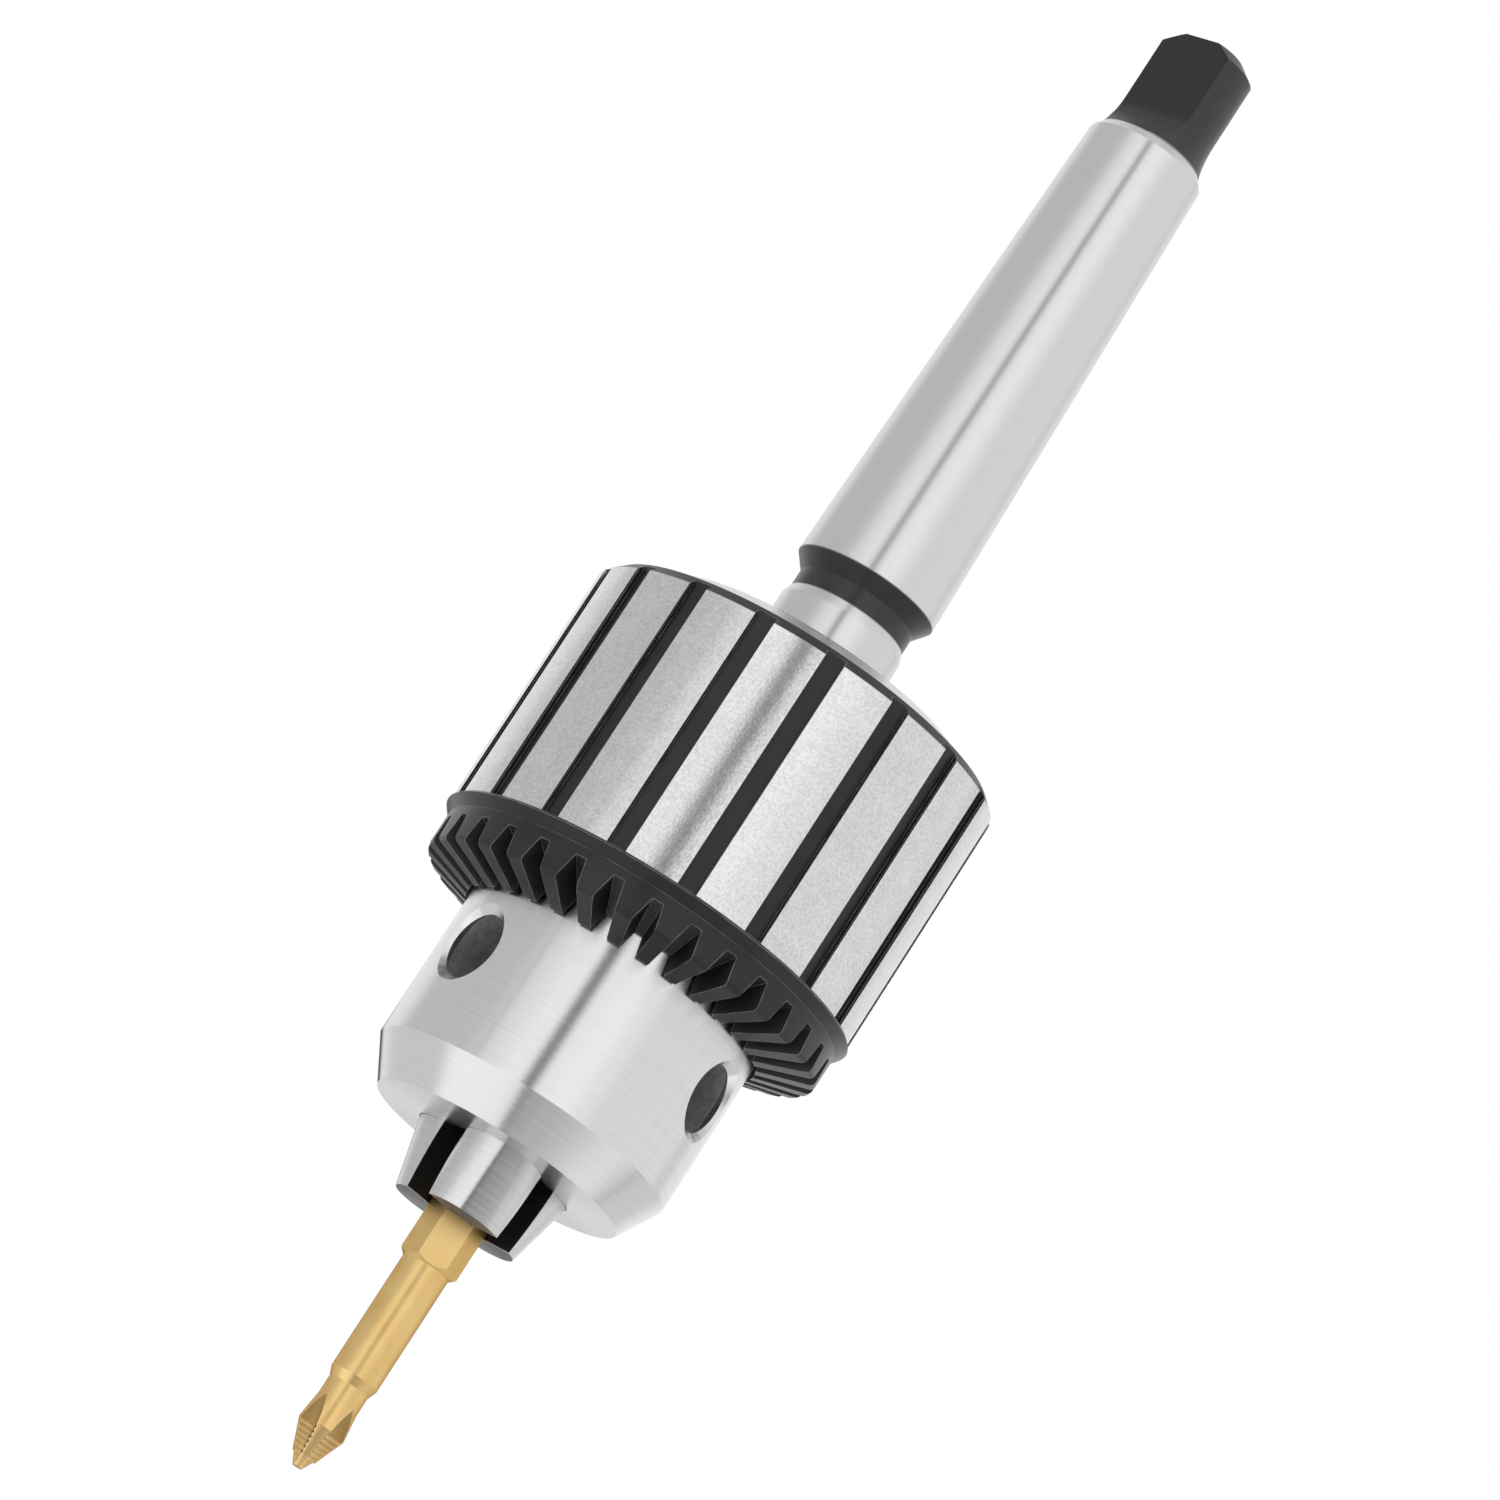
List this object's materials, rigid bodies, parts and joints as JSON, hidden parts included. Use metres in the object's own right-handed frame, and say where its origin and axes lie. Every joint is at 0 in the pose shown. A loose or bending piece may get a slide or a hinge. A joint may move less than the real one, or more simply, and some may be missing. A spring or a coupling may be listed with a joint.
{
  "type": "keyed drill chuck",
  "caption": "Keyed drill chuck with a grooved sleeve and ring gear on a Morse taper arbor, gripping a hexagonal screwdriver bit in three sliding jaws.",
  "frame": {"origin": "where the axis crosses the gauge plane of the Morse taper shank", "axes": "+Z along the axis towards the tang; the jaws and the bit point down, -Z; the first jaw and a groove of the sleeve face -Y"},
  "size_m": [0.0536, 0.0536, 0.1977],
  "materials": {
    "ground_steel": "ground bright shank, blackened tang and neck",
    "turned_steel": "fine turned, bright",
    "black_and_ground_steel": "black oxide with ground bright lands",
    "dark_steel": "hardened, dark oiled",
    "jaw_steel": "ground bars with blackened side faces",
    "gold_coated_steel": "gold coloured hard coating, satin"
  },
  "bodies": {
    "chuck": {"arbor": "ground_steel", "chuck_body": "turned_steel"},
    "sleeve": {"sleeve": "black_and_ground_steel", "split_nut_half_a": "dark_steel", "split_nut_half_b": "dark_steel"},
    "jaw_1": {"jaw_1": "jaw_steel"},
    "jaw_2": {"jaw_2": "jaw_steel"},
    "jaw_3": {"jaw_3": "jaw_steel"},
    "driver_bit": {"driver_bit": "gold_coated_steel"}
  },
  "joints": [
    {"name": "sleeve_turn", "type": "hinge", "parent": "chuck", "child": "sleeve", "pos_m": [0, 0, -0.0519], "axis": [0, 0, -1], "range_deg": [0, 2552.72]},
    {"name": "jaw_1_slide", "type": "slide", "parent": "chuck", "child": "jaw_1", "axis": [0.0135, -0.2585, 0.9659], "range_m": [0, 0.01285]},
    {"name": "jaw_2_slide", "type": "slide", "parent": "chuck", "child": "jaw_2", "axis": [0.2171, 0.141, 0.9659], "range_m": [0, 0.01285]},
    {"name": "jaw_3_slide", "type": "slide", "parent": "chuck", "child": "jaw_3", "axis": [-0.2306, 0.1175, 0.9659], "range_m": [0, 0.01285]},
    {"name": "bit_slide", "type": "slide", "parent": "chuck", "child": "driver_bit", "axis": [0, 0, -1], "range_m": [0, 0.018]}
  ],
  "couplings": [
    {"joint": "jaw_1_slide", "follows": "sleeve_turn", "m_per_rad": 0.00028835},
    {"joint": "jaw_2_slide", "follows": "sleeve_turn", "m_per_rad": 0.00028835},
    {"joint": "jaw_3_slide", "follows": "sleeve_turn", "m_per_rad": 0.00028835}
  ]
}
